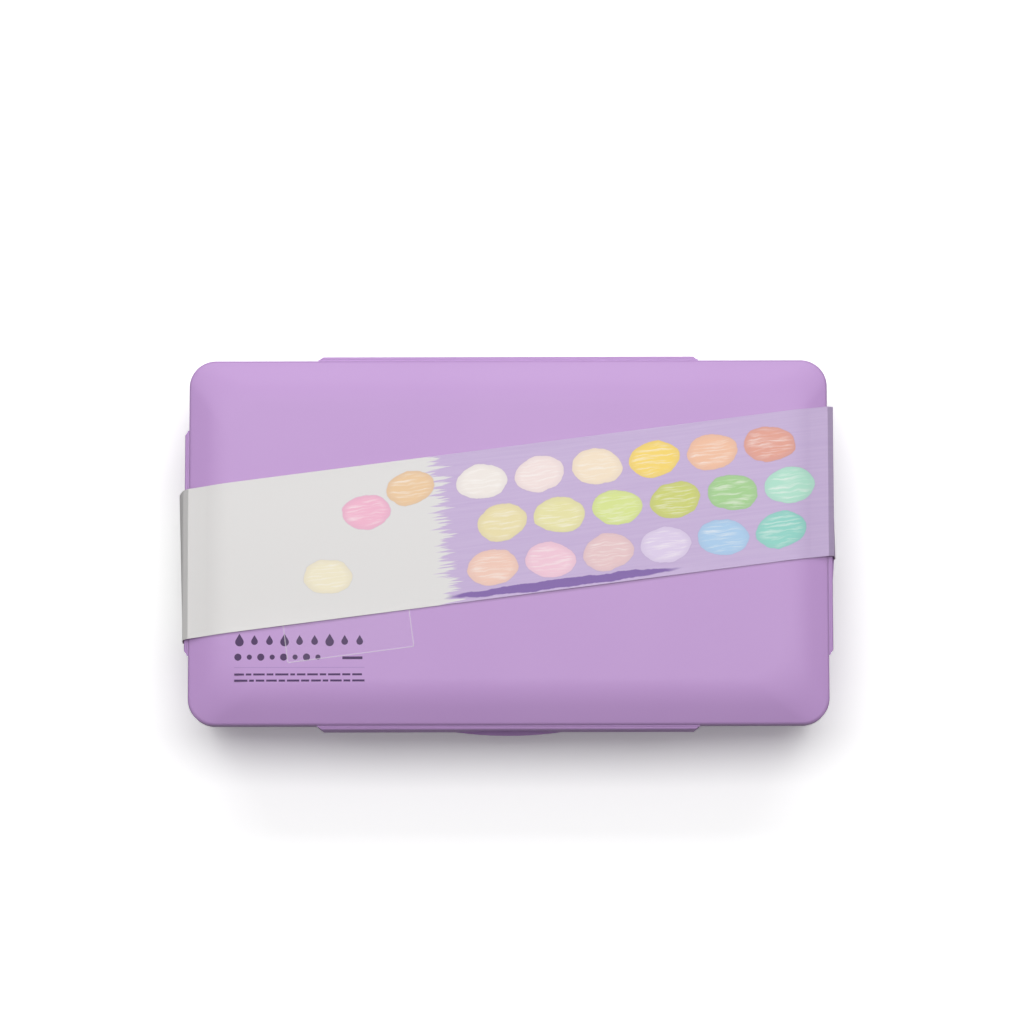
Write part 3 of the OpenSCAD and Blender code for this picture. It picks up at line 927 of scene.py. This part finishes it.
    # a printed dab is a touch deeper towards its rim
    rim = addNode(tree, "ShaderNodeMapRange",
        {"Value": nearest, "From Min": 0.7, "From Max": 1.0, "To Min": 0.0, "To Max": 0.12})
    outsideRim = addNode(tree, "ShaderNodeMapRange",
        {"Value": nearest, "From Min": 1.0, "From Max": 1.03, "To Min": 1.0, "To Max": 0.0})
    rimShare = addNode(tree, "ShaderNodeMath", {0: rim.outputs[0], 1: outsideRim.outputs[0]},
        operation="MULTIPLY")
    # the dark stroke under the lowest dabs
    strokeLocal = addNode(tree, "ShaderNodeMapping",
        {"Vector": shifted, "Location": (*bandPrint["strokeMiddle"], 0.0),
            "Scale": (*bandPrint["strokeSize"], 1.0)}, vector_type="TEXTURE")
    strokeAway = addNode(tree, "ShaderNodeVectorMath", {0: strokeLocal.outputs[0]}, operation="LENGTH")
    inked = addNode(tree, "ShaderNodeMapRange",
        {"Value": strokeAway.outputs["Value"], "From Min": 1.0, "From Max": 0.86})
    for share, tone in ((paleShare, "bristle"), (rimShare, "rim"), (inked, "ink")):
        colour = addNode(tree, "ShaderNodeMix", {0: share.outputs[0], 6: colour, 7: ink[tone]},
            data_type="RGBA").outputs[2]
    fibre = addNode(tree, "ShaderNodeTexNoise", {"Vector": place, "Scale": 1 / (1.6 * mm), "Detail": 3.0})
    gloss = addNode(tree, "ShaderNodeMapRange",
        {"Value": fibre.outputs["Fac"], "To Min": 0.36, "To Max": 0.5})
    bump = addNode(tree, "ShaderNodeBump", {"Height": fibre.outputs["Fac"], "Distance": 0.008 * mm})
    surface = addNode(tree, "ShaderNodeBsdfPrincipled",
        {"Base Color": colour, "Roughness": gloss.outputs[0], "IOR": 1.45,
            "Normal": bump.outputs["Normal"]})
    return finishMaterial(material, surface)


def makeRawBoard():
    # the uncoated back of the board: dull and a little warm, with short fibres
    material, tree, place = newMaterial("uncoatedBoard")
    fibre = addNode(tree, "ShaderNodeTexNoise",
        {"Vector": place, "Scale": 1 / (1.2 * mm), "Detail": 4.0, "Distortion": 0.8})
    tone = addNode(tree, "ShaderNodeMix",
        {0: fibre.outputs["Fac"], 6: linearColour(bandPrint["boardDeep"]),
            7: linearColour(bandPrint["board"])}, data_type="RGBA")
    bump = addNode(tree, "ShaderNodeBump", {"Height": fibre.outputs["Fac"], "Distance": 0.02 * mm})
    surface = addNode(tree, "ShaderNodeBsdfPrincipled",
        {"Base Color": tone.outputs[2], "Roughness": 0.8, "Normal": bump.outputs["Normal"]})
    return finishMaterial(material, surface)


def makeBand():
    columns = bandShape["columns"]
    outer = []
    inner = []
    for column in range(columns + 1):
        # sections lie closer together near the edges, where the card lifts
        share = 0.5 - 0.5 * math.cos(math.pi * column / columns)
        outerRing, innerRing = bandSection(share)
        outer.append(outerRing)
        inner.append(innerRing)
    # the printed outer faces come first, then the raw edges and inner faces
    loop = (*loft(outer + list(reversed(inner)), closed=True), columns * len(outer[0]))
    left = bandShape["lapFrom"]
    right = bandShape["lapTo"]
    outline = []
    for x, edge in ((left, -0.5), (right, -0.5), (right, 0.5), (left, 0.5)):
        outline.append((x, bandShape["back"] + x * bandSlope + edge * bandShape["width"]))
    # the glued lap is a second thickness of card under the loop
    under = bandShape["underZ"]
    lap = prism(outline, under - bandShape["card"], under + bandShape["lapBite"],
        lambda z, x, y: Vector((x, y, z)) * mm)
    return buildPiece("cardBand", [loop, (*lap, 0)], [makePrintedCard(), makeRawBoard()], 30)


settle(makeBand(), "card_band", "band_card", "card_band")


# clear adhesive tab at the band's front edge

tabShape = {
    "width": 60.4,
    "depth": 30.0,
    "shown": 17.9,
    "left": 81.8,
    "thickness": 0.08,
    "filmShare": 0.8,
    "above": 0.005,
    "corner": 0.8,
    "innerCorner": 0.2,
    "cornerSteps": 5,
    "border": 0.45,
    "film": {"tint": "#FFFFFF", "veil": 0.02, "roughness": 0.25},
    # the border's milky look is a painted highlight for the light caught on the cut edge
    "edge": {"tint": "#F4E8FA", "veil": 0.45, "roughness": 0.4},
}


def makeTab():
    turn = Matrix.Rotation(bandSlant, 3, "Z")
    middle = Vector((-tabShape["left"],
        -bandShape["width"] / 2 * math.cos(bandSlant) + tabShape["depth"] / 2 - tabShape["shown"], 0.0))
    lift = Vector((0.0, bandShape["back"], lidTop + tabShape["above"])) * mm
    border = tabShape["border"]

    def ring(inset, height):
        flat = roundedRing(tabShape["width"] - 2 * inset, tabShape["depth"] - 2 * inset,
            max(tabShape["corner"] - inset, tabShape["innerCorner"]), height, tabShape["cornerSteps"])
        return [turn @ (point + middle * mm) + lift for point in flat]

    thick = tabShape["thickness"]
    film = loft([ring(border, 0.0), ring(border, thick * tabShape["filmShare"])])
    edge = loft([ring(border, 0.0), ring(0.0, 0.0), ring(0.0, thick), ring(border, thick)], closed=True)
    clear = makeClearFilm("clearTabFilm", tabShape["film"])
    # painted highlight: the tab's border strip is made much milkier than the film, standing in for the
    # light that its cut edge catches
    rim = makeClearFilm("clearTabEdgePaintedHighlight", tabShape["edge"])
    return buildPiece("clearTab", [film, (*edge, 0)], [clear, rim])


settle(makeTab(), "lid", "seal_film", "clear_tab")


# plain printed marks at the lid's front left

marks = {
    "left": -129.4,
    "dropRow": -47.0,
    "dropHeight": 6.0,
    "dropFoot": 0.34,
    "smallDrop": 0.78,
    "firstDrop": 2.4,
    "dropPitch": 7.1,
    "drops": 9,
    "dotRow": -55.1,
    "dotSize": 3.4,
    "smallDot": 0.72,
    "firstDot": 1.7,
    "dotPitch": 5.4,
    "dots": 8,
    "barFrom": 51.0,
    "barTo": 60.5,
    "barRow": -55.5,
    "barHeight": 1.3,
    "ruleRow": -60.0,
    "ruleLength": 61.5,
    "ruleHeight": 0.22,
    "dashRows": (-63.3, -66.2),
    "dashHeight": 0.95,
    "dashGap": 0.9,
    "dashes": (4.6, 2.6, 5.4, 3.2, 6.2, 2.2, 4.0, 5.0, 3.0, 5.8, 3.8),
    "thickness": 0.03,
    "sunk": 0.02,
    "ink": "#45235A",
    "paleInk": "#A284BB",
}


def lidHeight(x, y):
    # height of the lid's outside over a place near its front left
    inward = min(caseSize["lidWidth"] / 2 - abs(x), caseSize["lidDepth"] / 2 - abs(y))
    profile = crownProfile(lidShape["crownSteps"])
    for (farther, high, _), (nearer, low, _) in zip(profile, profile[1:]):
        if nearer <= inward <= farther:
            return low + (high - low) * (inward - nearer) / max(farther - nearer, 0.001)
    return lidTop


def inkPatch(outline):
    # a thin closed patch that follows the lid under a flat outline
    return prism(outline, -marks["sunk"], marks["thickness"],
        lambda proud, x, y: Vector((x, y, lidHeight(x, y) + proud)) * mm)


def dropOutline(x, y, height):
    # a paint drop: a round foot drawn up to a point
    radius = height * marks["dropFoot"]
    outline = [(x, y + height / 2)]
    for step in range(15):
        angle = math.radians(150 + 240 * step / 14)
        outline.append((x + radius * math.cos(angle), y - height / 2 + radius + radius * math.sin(angle)))
    return outline


def makeMarks():
    parts = []
    left = marks["left"]
    right = left + marks["ruleLength"]
    for i in range(marks["drops"]):
        height = marks["dropHeight"] * (1.0 if i % 3 == 0 else marks["smallDrop"])
        middle = left + marks["firstDrop"] + i * marks["dropPitch"]
        parts.append(inkPatch(dropOutline(middle, marks["dropRow"], height)))
    for i in range(marks["dots"]):
        size = marks["dotSize"] / 2 * (1.0 if i % 2 == 0 else marks["smallDot"])
        middle = left + marks["firstDot"] + i * marks["dotPitch"]
        outline = []
        for step in range(18):
            turn = math.radians(20 * step)
            outline.append((middle + size * math.cos(turn), marks["dotRow"] + size * math.sin(turn)))
        parts.append(inkPatch(outline))

    def bar(start, end, y, height):
        # in pieces of about 8 mm, so that it follows the crown
        pieces = max(1, round((end - start) / 8))
        edges = [start + (end - start) * step / pieces for step in range(pieces + 1)]
        outline = [(x, y - height / 2) for x in edges]
        return inkPatch(outline + [(x, y + height / 2) for x in reversed(edges)])

    parts.append(bar(left + marks["barFrom"], left + marks["barTo"], marks["barRow"],
        marks["barHeight"]))
    parts.append((*bar(left, right, marks["ruleRow"], marks["ruleHeight"]), 0))
    for number, y in enumerate(marks["dashRows"]):
        x = left
        # the second row starts further on in the list of dashes
        i = number * 4
        while x < right - 2:
            end = min(x + marks["dashes"][i % len(marks["dashes"])], right)
            parts.append(bar(x, end, y, marks["dashHeight"]))
            x = end + marks["dashGap"]
            i += 1
    # the rule alone is printed in the paler ink
    return buildPiece("lidMarks", parts, [makeInk("padPrintInk", marks["ink"]),
        makeInk("palePadPrintInk", marks["paleInk"])])


def makeInk(name, colour):
    # pad-printed ink: a thin, even, half-matt film
    material, tree, place = newMaterial(name)
    cover = addNode(tree, "ShaderNodeTexNoise", {"Vector": place, "Scale": 1 / (1.5 * mm), "Detail": 2.0})
    gloss = addNode(tree, "ShaderNodeMapRange",
        {"Value": cover.outputs["Fac"], "To Min": 0.42, "To Max": 0.55})
    surface = addNode(tree, "ShaderNodeBsdfPrincipled",
        {"Base Color": linearColour(colour), "Roughness": gloss.outputs[0]})
    return finishMaterial(material, surface)


settle(makeMarks(), "lid", "case_plastic")


# floor, light and background

studio = {
    "floorHalf": 2500,
    "floorZ": -0.02,
    "floorColour": "#A8A8A8",
    "floorSeen": 1.36,
    "paperFades": 380.0,
    "paperEnds": 900.0,
    "fillLow": 0.02,
    "fillHigh": 0.54,
    "lamps": {
        "overheadSoftbox": {"place": (0.0, 300.0, 1400.0), "size": (2000.0, 700.0), "power": 10.2},
        "backStrip": {"place": (0.0, 980.0, 820.0), "size": (1900.0, 400.0), "power": 7.4},
    },
}


def makeFloorPaper():
    # white background paper: matt, and a little over-exposed to the camera, as in the photograph,
    # while what it gives back to the object stays that of plain paper
    material, tree, place = newMaterial("whiteStudioPaper")
    seen = addNode(tree, "ShaderNodeLightPath").outputs["Is Camera Ray"]
    bright = [studio["floorSeen"]] * 3 + [1.0]
    tone = addNode(tree, "ShaderNodeMix",
        {0: seen, 6: linearColour(studio["floorColour"]), 7: bright}, data_type="RGBA")
    paper = addNode(tree, "ShaderNodeBsdfDiffuse", {"Color": tone.outputs[2]})
    # away from the object the paper runs out into the white backdrop, for the camera alone
    away = addNode(tree, "ShaderNodeVectorMath", {0: place}, operation="LENGTH").outputs["Value"]
    outer = addNode(tree, "ShaderNodeMapRange",
        {"Value": away, "From Min": studio["paperFades"] * mm, "From Max": studio["paperEnds"] * mm})
    share = addNode(tree, "ShaderNodeMath", {0: outer.outputs[0], 1: seen}, operation="MULTIPLY").outputs[0]
    white = addNode(tree, "ShaderNodeEmission", {"Color": (1.0, 1.0, 1.0, 1.0), "Strength": 1.0})
    sheet = addNode(tree, "ShaderNodeMixShader", {0: share, 1: paper.outputs[0], 2: white.outputs[0]})
    return finishMaterial(material, sheet)


def makeStudio():
    reach = studio["floorHalf"]
    corners = [Vector((x * reach, y * reach, studio["floorZ"])) * mm
        for x, y in ((-1, -1), (1, -1), (1, 1), (-1, 1))]
    floor = buildPiece("paperFloor", [(corners, [(0, 1, 2, 3)])], [makeFloorPaper()])
    world = bpy.data.worlds.new("studioFill")
    bpy.context.scene.world = world
    world.use_nodes = True
    tree = world.node_tree
    tree.nodes.clear()
    path = addNode(tree, "ShaderNodeLightPath").outputs
    # the room's fill is strongest overhead and fades towards the floor
    aim = addNode(tree, "ShaderNodeTexCoord").outputs["Generated"]
    upward = addNode(tree, "ShaderNodeSeparateXYZ", {0: aim}).outputs["Z"]
    fill = addNode(tree, "ShaderNodeMapRange",
        {"Value": upward, "To Min": studio["fillLow"], "To Max": studio["fillHigh"]})
    strength = addNode(tree, "ShaderNodeMix", {0: path["Is Camera Ray"], 2: fill.outputs[0], 3: 1.0},
        data_type="FLOAT")
    sky = addNode(tree, "ShaderNodeBackground",
        {"Color": (1.0, 1.0, 1.0, 1.0), "Strength": strength.outputs[0]})
    addNode(tree, "ShaderNodeOutputWorld", {"Surface": sky.outputs[0]})
    for name, lamp in studio["lamps"].items():
        data = bpy.data.lights.new(name, "AREA")
        data.shape = "RECTANGLE"
        data.size = lamp["size"][0] * mm
        data.size_y = lamp["size"][1] * mm
        data.energy = lamp["power"]
        light = addObject(name, data)
        light.location = Vector(lamp["place"]) * mm
        light.rotation_euler = (-Vector(lamp["place"])).to_track_quat("-Z", "Y").to_euler()


makeStudio()
bpy.context.scene.view_settings.view_transform = "Standard"
print("studio lit")
